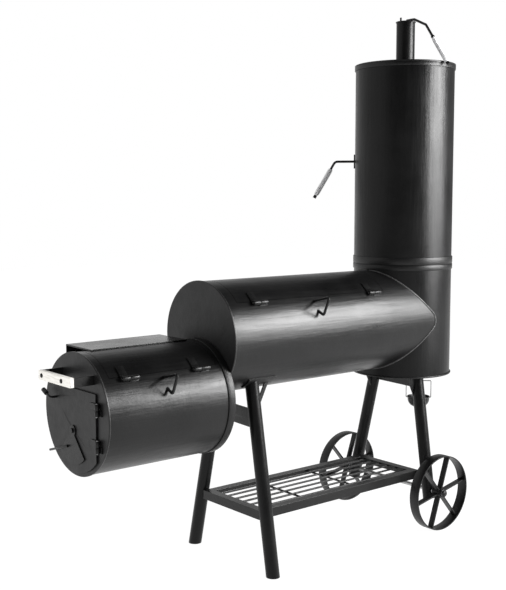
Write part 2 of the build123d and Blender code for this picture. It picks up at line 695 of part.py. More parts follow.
latch_knee = tower_point(LATCH_KNEE_R, TOWER_LATCH_Z)
latch_tip = tower_point(LATCH_KNEE_R + 176 * cos(radians(LATCH_DROP)), TOWER_LATCH_Z - 176 * sin(radians(LATCH_DROP)))
latch_route = [tower_point(INNER_R - 10, TOWER_LATCH_Z), latch_knee, latch_tip]
latch_plane = Plane(origin=tower_point(INNER_R - 10, TOWER_LATCH_Z), z_dir=latch_axis, x_dir=(0, 0, 1))
with BuildPart() as tower_latch:
    add(bent_rod(latch_route, HANDLE_ROD_R, 18))
    with BuildSketch(latch_plane):
        with Locations((-11, 0)):
            Rectangle(54, 16)
    extrude(amount=4)
    knob_start, knob_tip = rod_end(latch_route, 12)
    with BuildSketch(Plane(origin=knob_start, z_dir=knob_tip - knob_start)):
        Circle(HANDLE_ROD_R + 2)
    extrude(amount=12)
export(tower_latch, "tower_latch")

with BuildPart() as tower_latch_grip:
    add(grip_sleeve(latch_route, 130, 12))
export(tower_latch_grip, "tower_latch_grip")

with BuildPart() as tower_latch_plate:
    with BuildSketch(Plane(origin=tower_point(PIPE_R + 0.8, TOWER_LATCH_Z), z_dir=latch_axis, x_dir=(0, 0, 1))):
        Rectangle(58, 20)
        Circle(HANDLE_ROD_R + FIT, mode=Mode.SUBTRACT)
    extrude(amount=4)
    with BuildSketch(UP_FROM_TOWER.offset(TOWER_LATCH_Z - 29)):
        add(sector(PIPE_R + 2, PIPE_R, TOWER_LATCH_ANGLE - 2.8, TOWER_LATCH_ANGLE + 2.8))
    extrude(amount=14)
    with BuildSketch(UP_FROM_TOWER.offset(TOWER_LATCH_Z + 15)):
        add(sector(PIPE_R + 2, PIPE_R, TOWER_LATCH_ANGLE - 2.8, TOWER_LATCH_ANGLE + 2.8))
    extrude(amount=14)
export(tower_latch_plate, "tower_latch_plate")

# Chimney flap: a disc on the chimney's mouth that swings about an upright pin
FLAP_PIN_Y = 27.0
FLAP_PIN_R = 4.0
FLAP_R = 41.0
FLAP_Z = CHIMNEY_TOP_Z + AIR
FLAP_THICKNESS = 4.0
PIN_SOCKET = 30.0
with BuildPart() as chimney_pipe:
    add(
        tube(
            UP_FROM_TOWER.offset(TOWER_TOP_Z - PLATE),
            CHIMNEY_R,
            CHIMNEY_R - CHIMNEY_WALL,
            CHIMNEY_TOP_Z - TOWER_TOP_Z + PLATE,
        )
    )
    with BuildSketch(UP_FROM_TOWER.offset(CHIMNEY_TOP_Z - PIN_SOCKET)):
        with Locations((0, (FLAP_PIN_Y + CHIMNEY_R) / 2)):
            Rectangle(2 * FLAP_PIN_R, CHIMNEY_R - FLAP_PIN_Y)
        Circle(CHIMNEY_R - 1, mode=Mode.INTERSECT)
    extrude(amount=PIN_SOCKET)
    with BuildSketch(UP_FROM_TOWER.offset(CHIMNEY_TOP_Z - PIN_SOCKET)):
        with Locations((0, FLAP_PIN_Y)):
            Circle(FLAP_PIN_R)
    extrude(amount=PIN_SOCKET + AIR + FLAP_THICKNESS + 21)
export(chimney_pipe, "chimney_pipe")

with BuildPart() as chimney_flap:
    with BuildSketch(UP_FROM_TOWER.offset(FLAP_Z)):
        Circle(FLAP_R)
        with Locations((0, FLAP_PIN_Y)):
            Circle(FLAP_PIN_R + FIT, mode=Mode.SUBTRACT)
    extrude(amount=FLAP_THICKNESS)
export(chimney_flap, "chimney_flap")

flap_top = FLAP_Z + FLAP_THICKNESS + HANDLE_ROD_R
flap_route = [
    (TOWER_X, -6, flap_top),
    (TOWER_X, -46, flap_top),
    (TOWER_X, -109, 2044),
    (TOWER_X, -230, 1874),
]
with BuildPart() as chimney_flap_lever:
    add(bent_rod(flap_route, HANDLE_ROD_R, 14))
    tab_start, tab_tip = rod_end(flap_route, 148)
    with BuildSketch(Plane(origin=tab_start, z_dir=tab_tip - tab_start)):
        Circle(HANDLE_ROD_R + 2.5)
    extrude(amount=6)
    knob_start, knob_tip = rod_end(flap_route, 12)
    with BuildSketch(Plane(origin=knob_start, z_dir=knob_tip - knob_start)):
        Circle(HANDLE_ROD_R + 2)
    extrude(amount=12)
export(chimney_flap_lever, "chimney_flap_lever")

with BuildPart() as chimney_flap_grip:
    add(grip_sleeve(flap_route, 128, 12))
export(chimney_flap_grip, "chimney_flap_grip")

# Tower racks: three round grates on lugs
RACK_Z = (1180.0, 1410.0, 1640.0)
RACK_R = 180.0
with BuildPart() as tower_racks:
    for z in RACK_Z:
        with BuildSketch(UP_FROM_TOWER.offset(z)):
            with GridLocations(18, 1, 19, 1):
                Rectangle(5, 2 * RACK_R)
            with GridLocations(1, 150, 1, 2):
                Rectangle(2 * RACK_R, 6)
            Circle(RACK_R - 3, mode=Mode.INTERSECT)
            Circle(RACK_R)
            Circle(RACK_R - 6, mode=Mode.SUBTRACT)
            with GridLocations(18, 1, 19, 1):
                Rectangle(5, 2 * RACK_R)
            with GridLocations(1, 150, 1, 2):
                Rectangle(2 * RACK_R, 6)
            Circle(RACK_R, mode=Mode.INTERSECT)
        extrude(amount=5)
export(tower_racks, "tower_racks")

# Supports: a rail along each wall under the long grates, four lugs under each round rack
RAIL_THICKNESS = 4.0
with BuildPart() as grate_supports:
    for x, axis_z, inner_edge, top_dz, length in (
        (CHAMBER_X + 16, CHAMBER_Z, 172, GRATE_DZ - GRATE_BAR_R, GRATE_STARTS[1] + GRATE_LENGTH - 10),
        (COAL_X[0], FIREBOX_Z, 148, COAL_DZ - 9, COAL_X[1] - COAL_X[0]),
    ):
        with BuildSketch(across(x, axis_z)):
            for side in (-1, 1):
                with Locations((side * (inner_edge + 20), top_dz - RAIL_THICKNESS / 2)):
                    Rectangle(40, RAIL_THICKNESS)
            Circle(INNER_R, mode=Mode.INTERSECT)
        extrude(amount=length)
    for z in RACK_Z:
        with BuildSketch(UP_FROM_TOWER.offset(z - 5)):
            with PolarLocations(186, 4, 22):
                Rectangle(26, 18)
            Circle(INNER_R, mode=Mode.INTERSECT)
        extrude(amount=5)
export(grate_supports, "grate_supports")

# ---- drain and grease bucket ----
BAIL_R = 2.0
BAIL_WIDTH = 104.0
BUCKET_R = 49.0
BUCKET_RIM_Z = 508.0
BUCKET_BOTTOM_Z = 463.0
HOOK_Z = 574.0
EAR_Z = BUCKET_RIM_Z - 5.0
BAIL_ANGLE = -45.0
HOOK_R = 3.0

bail_along = Vector(cos(radians(BAIL_ANGLE)), sin(radians(BAIL_ANGLE)), 0)
bail_across = Vector(-bail_along.Y, bail_along.X, 0)


def by_drain(along, aside, z):
    """A point near the drain, along the bail and square to it."""
    return Vector(DRAIN_X, DRAIN_Y, z) + bail_along * along + bail_across * aside


hook_low = HOOK_Z - BAIL_R - HOOK_R - 0.4
with BuildPart() as bucket_hook:
    add(
        bent_rod(
            [
                by_drain(0, 22, TOWER_FLOOR_Z),
                by_drain(0, 22, hook_low),
                by_drain(0, -9, hook_low),
                by_drain(0, -9, hook_low + 15),
            ],
            HOOK_R,
            5,
        )
    )
export(bucket_hook, "bucket_hook")

with BuildPart() as bucket_bail:
    add(
        bent_rod(
            [
                by_drain(-BUCKET_R + 5, 0, EAR_Z),
                by_drain(-BAIL_WIDTH / 2, 0, EAR_Z),
                by_drain(-BAIL_WIDTH / 2, 0, HOOK_Z),
                by_drain(BAIL_WIDTH / 2, 0, HOOK_Z),
                by_drain(BAIL_WIDTH / 2, 0, EAR_Z),
                by_drain(BUCKET_R - 5, 0, EAR_Z),
            ],
            BAIL_R,
            2.9,
        )
    )
export(bucket_bail, "bucket_bail")

with BuildPart() as grease_bucket:
    with BuildSketch(Plane(origin=(DRAIN_X, DRAIN_Y, 0), z_dir=(0, -1, 0), x_dir=(1, 0, 0))):
        with BuildLine():
            wall = 1.5
            shoulder = BUCKET_BOTTOM_Z + 24
            Polyline((0, BUCKET_BOTTOM_Z), (BUCKET_R - 22, BUCKET_BOTTOM_Z))
            RadiusArc((BUCKET_R - 22, BUCKET_BOTTOM_Z), (BUCKET_R - 3, shoulder), -26)
            Polyline(
                (BUCKET_R - 3, shoulder),
                (BUCKET_R - 1, BUCKET_RIM_Z),
                (BUCKET_R - 1 - wall, BUCKET_RIM_Z),
                (BUCKET_R - 3 - wall, shoulder),
            )
            RadiusArc((BUCKET_R - 22, BUCKET_BOTTOM_Z + wall), (BUCKET_R - 3 - wall, shoulder), -26 + wall)
            Polyline((BUCKET_R - 22, BUCKET_BOTTOM_Z + wall), (0, BUCKET_BOTTOM_Z + wall), (0, BUCKET_BOTTOM_Z))
        make_face()
    revolve(axis=Axis((DRAIN_X, DRAIN_Y, 0), (0, 0, 1)))
    with BuildSketch(Plane(origin=by_drain(-BUCKET_R - 5, 0, EAR_Z), z_dir=bail_along)):
        Circle(BAIL_R + FIT)
    extrude(amount=2 * BUCKET_R + 10, mode=Mode.SUBTRACT)
export(grease_bucket, "grease_bucket")

# ---- legs, plates and stays ----
def leg_line(x, side):
    """The foot of a leg's centre line on the floor, and its direction."""
    lean, pivot_z = LEG_LEAN[(x, side)]
    foot = Vector(x - lean * pivot_z, side * FOOT_Y, 0)
    return foot, Vector(lean, -side * tan(radians(SPLAY)), 1).normalized()


def leg_point(x, side, z):
    """Where a leg's centre line passes a height."""
    foot, direction = leg_line(x, side)
    return foot + direction * (z / direction.Z)


def leg_rod(x, side, low, high, radius):
    """A solid rod along a leg's centre line."""
    foot, direction = leg_line(x, side)
    with BuildPart() as rod:
        with BuildSketch(Plane(origin=foot + direction * low, z_dir=direction)):
            Circle(radius)
        extrude(amount=high - low)
    return rod.part


def chamber_rod(radius):
    """A solid rod as long as the smoker on the chamber's axis."""
    with BuildPart() as rod:
        with BuildSketch(across(CHAMBER_X - 50, CHAMBER_Z)):
            Circle(radius)
        extrude(amount=TOWER_OFFSET)
    return rod.part


LEG_TAIL = 118.0
FOOT_CAP = 5.0
with BuildPart() as legs_left:
    for side in (-1, 1):
        add(leg_rod(LEFT_LEG_X, side, -20, 720, LEG_R))
        add(leg_rod(LEFT_LEG_X, side, FOOT_CAP, 720, LEG_R - LEG_WALL), mode=Mode.SUBTRACT)
    split(bisect_by=Plane.XY, keep=Keep.TOP)
    add(chamber_rod(PIPE_R + SADDLE_THICKNESS), mode=Mode.SUBTRACT)
export(legs_left, "legs_left")

with BuildPart() as legs_right:
    for side in (-1, 1):
        add(leg_rod(RIGHT_LEG_X, side, LEG_TAIL, 700, LEG_R))
        add(leg_rod(RIGHT_LEG_X, side, LEG_TAIL, 700, LEG_R - LEG_WALL), mode=Mode.SUBTRACT)
    split(bisect_by=Plane.XY.offset(TOWER_FLOOR_Z), keep=Keep.BOTTOM)
    with BuildSketch(Plane(origin=(RIGHT_LEG_X, -300, WHEEL_R), z_dir=(0, 1, 0))):
        Circle(AXLE_R)
    extrude(amount=600, mode=Mode.SUBTRACT)
export(legs_right, "legs_right")


def cross_plate(x, low, high):
    """A flat plate between a pair of legs, trimmed to the legs."""
    near, far = leg_point(x, -1, (low + high) / 2), leg_point(x, 1, (low + high) / 2)
    along = (far - near).normalized()
    normal = Vector(along.Y, -along.X, 0)
    with BuildPart() as plate:
        with BuildSketch(Plane(origin=(near + far) * 0.5 - normal * 3, x_dir=along, z_dir=normal)):
            Rectangle((far - near).length, high - low)
        extrude(amount=6)
        for side in (-1, 1):
            add(leg_rod(x, side, low - 80, high + 80, LEG_R), mode=Mode.SUBTRACT)
    return plate.part.solids().sort_by(SortBy.VOLUME)[-1]


with BuildPart() as leg_plates:
    add(cross_plate(LEFT_LEG_X, 520, 588))
    add(cross_plate(RIGHT_LEG_X, 562, TOWER_FLOOR_Z))
export(leg_plates, "leg_plates")

STAY_WIDTH = 16.0
STAY_THICKNESS = 6.0


def stay(x, direction, low, high, side):
    """A flat bar from a leg up to the vessel above it, leaning along X."""
    y = leg_point(x, side, (low + high) / 2).Y
    run = (high - low) * 0.5
    start = leg_point(x, side, low).X + direction * (LEG_R - 3)
    with BuildPart() as bar:
        with BuildSketch(Plane(origin=(0, y + STAY_THICKNESS / 2, 0), z_dir=(0, -1, 0), x_dir=(1, 0, 0))):
            Polygon(
                (start, low),
                (start + direction * run, high),
                (start + direction * (run + STAY_WIDTH), high),
                (start, low - STAY_WIDTH * 2),
                align=None,
            )
        extrude(amount=STAY_THICKNESS)
        add(leg_rod(x, side, 200, 800, LEG_R), mode=Mode.SUBTRACT)
        if direction > 0:
            add(chamber_rod(PIPE_R + SADDLE_THICKNESS), mode=Mode.SUBTRACT)
    return bar.part.solids().sort_by(Axis.Z)[0]


LEG_TOP_ANGLE = 232.5
with BuildPart() as leg_stays:
    for angle in (LEG_TOP_ANGLE, 540 - LEG_TOP_ANGLE):
        with BuildSketch(across(LEFT_LEG_X - 36, CHAMBER_Z)):
            add(sector(PIPE_R + SADDLE_THICKNESS, PIPE_R, angle - 8, angle + 8))
        extrude(amount=125)
    for side in (-1, 1):
        add(stay(LEFT_LEG_X, 1, 610, 720, side))
        add(stay(RIGHT_LEG_X, -1, 560, TOWER_FLOOR_Z, side))
export(leg_stays, "leg_stays")

# ---- shelf ----
SHELF_X = (LEFT_LEG_X - 8.0, RIGHT_LEG_X - 14.0)
SHELF_STEEL = 4.0
shelf_length = SHELF_X[1] - SHELF_X[0]
shelf_middle = (SHELF_X[0] + SHELF_X[1]) / 2
with BuildPart() as shelf_frame:
    for base, height, inset in ((SHELF_Z - SHELF_ANGLE, SHELF_ANGLE, SHELF_STEEL), (SHELF_Z - SHELF_STEEL, SHELF_STEEL, SHELF_ANGLE)):
        with BuildSketch(Plane.XY.offset(base)):
            with Locations((shelf_middle, 0)):
                Rectangle(shelf_length, 2 * SHELF_Y)
                Rectangle(shelf_length - 2 * inset, 2 * SHELF_Y - 2 * inset, mode=Mode.SUBTRACT)
        extrude(amount=height)
    for x in (LEFT_LEG_X, RIGHT_LEG_X):
        for side in (-1, 1):
            add(leg_rod(x, side, 100, 400, LEG_R), mode=Mode.SUBTRACT)
export(shelf_frame, "shelf_frame")

with BuildPart() as shelf_rods:
    rod_z = SHELF_Z - SHELF_STEEL - SHELF_ROD_R
    with BuildSketch(across(SHELF_X[0] + SHELF_STEEL, rod_z)):
        with GridLocations(46, 1, 6, 1):
            Circle(SHELF_ROD_R)
    extrude(amount=shelf_length - 2 * SHELF_STEEL)
    for x in (CHAMBER_X + 402, CHAMBER_X + 668):
        with BuildSketch(
            Plane(origin=(x, -SHELF_Y + SHELF_STEEL, rod_z - 2 * SHELF_ROD_R - 0.02), z_dir=(0, 1, 0), x_dir=(1, 0, 0))
        ):
            Circle(SHELF_ROD_R)
        extrude(amount=2 * SHELF_Y - 2 * SHELF_STEEL)
export(shelf_rods, "shelf_rods")

# ---- axle and wheels ----
HUB_R = 17.0
HUB_HALF = 24.0
SPOKE_WIDTH = 24.0
SPOKE_THICKNESS = 6.0
LONG_WAY = Plane(origin=(RIGHT_LEG_X, 0, WHEEL_R), z_dir=(0, 1, 0), x_dir=(1, 0, 0))


def on_axle(y):
    """A plane square to the axle."""
    return LONG_WAY.offset(y)


with BuildPart() as axle:
    with BuildSketch(on_axle(-AXLE_END)):
        Circle(AXLE_R)
    extrude(amount=2 * AXLE_END)
export(axle, "axle")

with BuildPart() as axle_washers:
    for side in (-1, 1):
        for y, thickness in ((WHEEL_Y - HUB_HALF - 3.8, 3.2), (WHEEL_Y + HUB_HALF + AIR, 2.5)):
            with BuildSketch(on_axle(side * (y + thickness / 2) - thickness / 2)):
                Circle(14)
                Circle(AXLE_R, mode=Mode.SUBTRACT)
            extrude(amount=thickness)
export(axle_washers, "axle_washers")

for name, side in (("front", 1), ("rear", -1)):
    centre = side * WHEEL_Y
    with BuildPart() as rim:
        add(tube(on_axle(centre - WHEEL_WIDTH / 2), WHEEL_R, WHEEL_R - RIM_THICKNESS, WHEEL_WIDTH))
    export(rim, f"wheel_rim_{name}")

    with BuildPart() as spider:
        for angle in SPOKE_ANGLES:
            with BuildSketch(on_axle(centre - SPOKE_WIDTH / 2)):
                with Locations(Location((0, 0, 0), (0, 0, -angle))):
                    Rectangle(2 * WHEEL_R, SPOKE_THICKNESS)
                Circle(WHEEL_R - RIM_THICKNESS, mode=Mode.INTERSECT)
            extrude(amount=SPOKE_WIDTH)
        with BuildSketch(on_axle(centre - HUB_HALF)):
            Circle(HUB_R)
        extrude(amount=2 * HUB_HALF)
        with BuildSketch(on_axle(centre - HUB_HALF)):
            Circle(AXLE_R + FIT)
        extrude(amount=2 * HUB_HALF, mode=Mode.SUBTRACT)
    export(spider, f"wheel_spokes_{name}")
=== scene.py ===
"""Looks for the offset smoker: materials, coil grips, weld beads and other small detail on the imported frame."""

import math
import random

import bmesh
import bpy
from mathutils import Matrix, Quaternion, Vector


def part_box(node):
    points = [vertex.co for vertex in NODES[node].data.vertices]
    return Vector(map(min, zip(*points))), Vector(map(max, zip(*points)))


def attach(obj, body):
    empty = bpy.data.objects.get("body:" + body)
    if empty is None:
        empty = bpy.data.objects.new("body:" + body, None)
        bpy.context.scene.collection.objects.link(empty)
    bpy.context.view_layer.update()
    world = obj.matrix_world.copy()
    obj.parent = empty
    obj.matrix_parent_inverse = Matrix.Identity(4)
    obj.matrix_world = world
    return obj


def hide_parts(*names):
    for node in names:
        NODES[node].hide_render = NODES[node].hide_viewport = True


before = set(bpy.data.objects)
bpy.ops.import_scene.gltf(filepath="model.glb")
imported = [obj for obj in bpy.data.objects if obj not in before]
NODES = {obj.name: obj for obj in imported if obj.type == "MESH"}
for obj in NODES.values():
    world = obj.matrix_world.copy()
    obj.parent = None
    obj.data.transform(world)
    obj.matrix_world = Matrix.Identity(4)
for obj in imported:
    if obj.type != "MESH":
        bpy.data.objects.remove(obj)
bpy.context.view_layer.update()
random.seed(7)


# ------------------------------------------------------------------ materials
class Shader:
    """A small helper that builds one node material."""

    def __init__(self, name):
        self.material = bpy.data.materials.new(name)
        self.material.use_nodes = True
        self.tree = self.material.node_tree
        self.out = next(n for n in self.tree.nodes if n.type == "OUTPUT_MATERIAL")
        self.bsdf = next(n for n in self.tree.nodes if n.type == "BSDF_PRINCIPLED")
        self.coords = self.node("ShaderNodeTexCoord").outputs["Object"]

    def node(self, kind, **settings):
        made = self.tree.nodes.new(kind)
        for key, value in settings.items():
            setattr(made, key, value)
        return made

    def link(self, a, b):
        self.tree.links.new(a, b)

    def noise(self, scale, detail=3.0, roughness=0.55, stretch=(1, 1, 1), distortion=0.0):
        mapping = self.node("ShaderNodeMapping")
        mapping.inputs["Scale"].default_value = stretch
        self.link(self.coords, mapping.inputs["Vector"])
        tex = self.node("ShaderNodeTexNoise")
        tex.inputs["Scale"].default_value = scale
        tex.inputs["Detail"].default_value = detail
        tex.inputs["Roughness"].default_value = roughness
        tex.inputs["Distortion"].default_value = distortion
        self.link(mapping.outputs["Vector"], tex.inputs["Vector"])
        return tex.outputs["Fac"]

    def ramp(self, value, stops):
        ramp = self.node("ShaderNodeValToRGB")
        elements = ramp.color_ramp.elements
        while len(elements) < len(stops):
            elements.new(0.5)
        for element, (position, colour) in zip(elements, stops):
            element.position = position
            grey = (colour,) * 3 if isinstance(colour, (int, float)) else colour
            element.color = (*grey, 1.0)
        self.link(value, ramp.inputs["Fac"])
        return ramp.outputs["Color"]

    def feed(self, socket, value):
        """Puts a number, a colour or another node's output into a socket."""
        if isinstance(value, (int, float)):
            socket.default_value = value
        elif isinstance(value, tuple):
            socket.default_value = (*value, 1.0)
        else:
            self.link(value, socket)

    def mix(self, factor, a, b):
        mix = self.node("ShaderNodeMix", data_type="RGBA")
        for index, value in ((0, factor), (6, a), (7, b)):
            self.feed(mix.inputs[index], value)
        return mix.outputs[2]

    def bump(self, height, strength, distance, normal=None):
        bump = self.node("ShaderNodeBump")
        bump.inputs["Strength"].default_value = strength
        bump.inputs["Distance"].default_value = distance
        self.link(height, bump.inputs["Height"])
        if normal is not None:
            self.link(normal, bump.inputs["Normal"])
        return bump.outputs["Normal"]

    def set(self, **values):
        for key, value in values.items():
            self.feed(self.bsdf.inputs[key.replace("_", " ")], value)


def tint(level, blue):
    """A grey with a little more blue."""
    return level, level, level * blue


def black_paint(name, streaks, tone=1.0, rough=(0.27, 0.37), gloss=0.33):
    """Satin heat-proof paint on rolled steel: broad mottling, mill streaks, fine orange peel."""
    s = Shader(name)
    broad = s.noise(4.5, 4)
    streak = s.noise(9.0, 5, 0.6, streaks)
    speck = s.noise(420.0, 2)
    colour = s.mix(s.ramp(broad, ((0.3, 0.0), (0.72, 1.0))), tint(0.0025 * tone, 1.03), tint(0.006 * tone, 1.02))
    colour = s.mix(s.ramp(speck, ((0.62, 0.0), (0.78, 0.5))), colour, tint(0.02 * tone, 1))
    waves = s.bump(broad, 0.2, 0.014)
    rolled = s.bump(streak, 0.16, 0.005, waves)
    s.set(
        Base_Color=colour,
        Roughness=s.ramp(s.mix(0.5, broad, streak), ((0.3, rough[0] - 0.03), (0.7, rough[1] + 0.05))),
        Normal=s.bump(s.noise(150.0, 4), 0.22, 0.0009, rolled),
        Specular_IOR_Level=gloss,
    )
    return s.material


def steel(name, base, rough, metallic=1.0):
    """Bare or plated steel with fine scratches and a little tarnish."""
    s = Shader(name)
    fine = s.noise(380.0, 4, 0.6)
    stain = s.noise(35.0, 4)
    colour = s.mix(s.ramp(stain, ((0.35, 0.0), (0.75, 1.0))), base, tuple(c * 0.72 for c in base))
    s.set(
        Base_Color=colour,
        Roughness=s.ramp(fine, ((0.3, rough - 0.08), (0.7, rough + 0.1))),
        Normal=s.bump(fine, 0.12, 0.0004),
        Metallic=metallic,
    )
    return s.material


def pale_wood():
    """Pale sanded hardwood with its grain along Y."""
    s = Shader("pale_wood")
    grain = s.noise(3.0, 8.0, 0.5, (90, 6, 90), distortion=0.6)
    tones = ((0.25, (0.62, 0.59, 0.54)), (0.5, (0.83, 0.81, 0.77)), (0.8, (0.9, 0.885, 0.85)))
    s.set(
        Base_Color=s.ramp(grain, tones),
        Roughness=s.ramp(grain, ((0.3, 0.62), (0.7, 0.5))),
        Normal=s.bump(grain, 0.25, 0.0008),
    )
    return s.material


def grate_steel():
    """Seasoned dark bars: oily black with dull brown-grey patches."""
    s = Shader("grate_steel")
    patch = s.noise(28.0, 5)
    tones = ((0.3, (0.012, 0.011, 0.010)), (0.6, (0.035, 0.030, 0.026)), (0.8, (0.09, 0.075, 0.06)))
    s.set(
        Base_Color=s.ramp(patch, tones),
        Roughness=s.ramp(patch, ((0.3, 0.38), (0.75, 0.72))),
        Normal=s.bump(s.noise(500.0, 3), 0.3, 0.0006),
    )
    return s.material


def weld_with_painted_highlight():
    """Painted weld bead: the same black paint, with a painted highlight: the colour is lighter on the ripple
    crests.
    """
    s = Shader("weld_with_painted_highlight")
    ripple = s.noise(160.0, 3)
    s.set(
        # Base colour lighter on the ripple crests: a painted highlight where light catches the ripples
        Base_Color=s.ramp(ripple, ((0.3, 0.02), (0.75, 0.09))),
        Roughness=s.ramp(ripple, ((0.3, 0.24), (0.7, 0.4))),
        Normal=s.bump(ripple, 0.35, 0.0008),
    )
    return s.material


ALONG_X, ALONG_Z = (0.6, 9, 9), (9, 9, 0.6)
PAINT_X = black_paint("black_paint_x", ALONG_X)
PAINT_Y = black_paint("black_paint_flat", (3, 3, 3), tone=1.4, rough=(0.36, 0.46))
PAINT_PLATE = black_paint("black_paint_plate", (2, 6, 6), tone=1.2, rough=(0.2, 0.28))
PAINT_Z = black_paint("black_paint_z", ALONG_Z, gloss=0.2)
PAINT_SMALL = black_paint("black_paint_small", (30, 30, 30), tone=0.9, rough=(0.3, 0.42))
# Pale, mostly diffuse coil wire: the real silver plating plus a painted reflection of the bright room that a
# plated coil would mirror
WIRE = steel("coil_wire_painted_reflection", (0.9, 0.9, 0.91), 0.4, metallic=0.3)
PIN_STEEL = steel("pin_steel", (0.42, 0.42, 0.42), 0.34)
ZINC = steel("zinc_plate", (0.62, 0.63, 0.65), 0.36)
WOOD = pale_wood()
GRATE = grate_steel()
WELD = weld_with_painted_highlight()

FINISH = {
    "chamber_shell": PAINT_X,
    "chamber_lid": PAINT_X,
    "firebox_shell": PAINT_X,
    "firebox_lid": PAINT_X,
    "tower_shell": PAINT_Z,
    "tower_door": PAINT_Z,
    "tower_base_shell": PAINT_Z,
    "chimney_pipe": PAINT_Z,
    "legs_left": PAINT_Z,
    "legs_right": PAINT_Z,
    "warming_plate": PAINT_PLATE,
    "firebox_end_plate": PAINT_Y,
    "firebox_door": PAINT_Y,
    "chamber_end_plate": PAINT_Y,
    "firebox_back_plate": PAINT_Y,
    "tower_cap": PAINT_Y,
    "tower_floor_plate": PAINT_Y,
    "cooking_grates": GRATE,
    "charcoal_grate": GRATE,
    "tower_racks": GRATE,
    "hinge_pins": PIN_STEEL,
    "axle": PIN_STEEL,
    "axle_washers": ZINC,
    "transport_handle_bar": WOOD,
    "bucket_bail": PIN_STEEL,
}


def dress(obj, material):
    obj.data.materials.clear()
    obj.data.materials.append(material)
    return obj


# Width of the rounded edge on each node with sharp edges, in millimetres
SOFT_EDGES = {
    "firebox_door": 0.8,
    "firebox_end_plate": 0.8,
    "chamber_end_plate": 0.8,
    "warming_plate": 0.7,
    "pipe_bands": 0.9,
    "tower_floor_plate": 1.6,
    "leg_plates": 0.8,
    "leg_stays": 0.8,
    "shelf_frame": 0.9,
    "transport_handle_strap": 0.9,
    "wheel_rim_front": 0.8,
    "wheel_rim_rear": 0.8,
    "wheel_spokes_front": 0.8,
    "wheel_spokes_rear": 0.8,
    "chamber_lid_straps": 0.8,
    "firebox_lid_straps": 0.8,
    "tower_door_straps": 0.8,
    "hinge_barrels": 0.8,
    "air_damper": 0.6,
    "chimney_flap": 0.7,
    "door_hinge_leaves": 0.7,
    "tower_latch_plate": 0.7,
}
WELD_DISTANCE = 0.00002
BEVEL_ANGLE = math.radians(38)
SMOOTH_ANGLE = math.radians(28)
for name, node in NODES.items():
    dress(node, FINISH.get(name, PAINT_SMALL))
    if name in SOFT_EDGES:
        weld = node.modifiers.new("weld", "WELD")
        weld.merge_threshold = WELD_DISTANCE
        bevel = node.modifiers.new("edges", "BEVEL")
        bevel.width = SOFT_EDGES[name] / 1000
        bevel.segments = 2
        bevel.limit_method = "ANGLE"
        bevel.angle_limit = BEVEL_ANGLE
        bevel.use_clamp_overlap = True


# ------------------------------------------------------------------ mesh helpers
def add_mesh(name, bm, material, body, smooth=True):
    """Turns a bmesh into a piece that rides on a body."""
    bmesh.ops.recalc_face_normals(bm, faces=bm.faces)
    mesh = bpy.data.meshes.new(name)
    bm.to_mesh(mesh)
    bm.free()
    if smooth:
        mesh.shade_smooth()
    obj = bpy.data.objects.new(name, mesh)
    bpy.context.scene.collection.objects.link(obj)
    mesh.materials.append(material)
    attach(obj, body)
    return obj


def frames(points):
    """Turning-free frames along a polyline: (point, side, up) for each point."""
    points = [Vector(p) for p in points]
    tangents = []
    for i in range(len(points)):
        a, b = points[max(i - 1, 0)], points[min(i + 1, len(points) - 1)]
        tangents.append((b - a).normalized())
    side = tangents[0].orthogonal().normalized()
    made = []
    for point, tangent in zip(points, tangents):
        side = (side - tangent * side.dot(tangent)).normalized()
        made.append((point, side, tangent.cross(side)))
    return made


def ring_of_verts(bm, centre, side, up, radius, steps):
    """Adds a circle of vertices."""
    turn = [2 * math.pi * k / steps for k in range(steps)]
    return [bm.verts.new(centre + side * (radius * math.cos(a)) + up * (radius * math.sin(a))) for a in turn]


def tube(bm, points, radius, sides=8):
    """Adds a round tube with closed ends; radius is a number or a function of the point's index."""
    rings = []
    for i, (point, side, up) in enumerate(frames(points)):
        r = radius(i) if callable(radius) else radius
        rings.append(ring_of_verts(bm, point, side, up, r, sides))
    for a, b in zip(rings, rings[1:]):
        for k in range(sides):
            bm.faces.new((a[k], a[(k + 1) % sides], b[(k + 1) % sides], b[k]))
    bm.faces.new(rings[0])
    bm.faces.new(rings[-1])


def lathe(bm, origin, axis, profile, steps=32):
    """Adds a shape turned about an axis; the profile is (radius, distance along the axis) pairs."""
    axis = Vector(axis).normalized()
    side = axis.orthogonal().normalized()
    up = axis.cross(side)
    origin = Vector(origin)
    rings = []
    for radius, along in profile:
        centre = origin + axis * along
        if radius < 1e-6:
            rings.append([bm.verts.new(centre)])
            continue
        rings.append(ring_of_verts(bm, centre, side, up, radius, steps))
    for a, b in zip(rings, rings[1:]):
        for k in range(steps):
            j = (k + 1) % steps
            corners = list(dict.fromkeys((a[k % len(a)], a[j % len(a)], b[j % len(b)], b[k % len(b)])))
            if len(corners) > 2:
                bm.faces.new(corners)


def axis_of(node):
    """The centre line of a long round CAD node: its two ends and its radius, in metres."""
    points = [v.co.copy() for v in NODES[node].data.vertices]
    middle = sum(points, Vector()) / len(points)
    far = max(points, key=lambda p: (p - middle).length)
    direction = (far - middle).normalized()
    for _ in range(12):
        total = Vector()
        for p in points:
            d = p - middle
            total += d * d.dot(direction)
        direction = total.normalized()
    along = [(p - middle).dot(direction) for p in points]
    radius = max(((p - middle) - direction * a).length for p, a in zip(points, along))
    return middle + direction * min(along), middle + direction * max(along), radius


# ------------------------------------------------------------------ coil grips
COIL_WIRE = 0.0016
COIL_PITCH = 2.3                # in wire radii
COIL_STEPS = 18                 # points in one turn
COIL_TAPER = 0.12               # part of the length over which each end narrows
COIL_END = 0.74                 # radius at the ends, against the middle


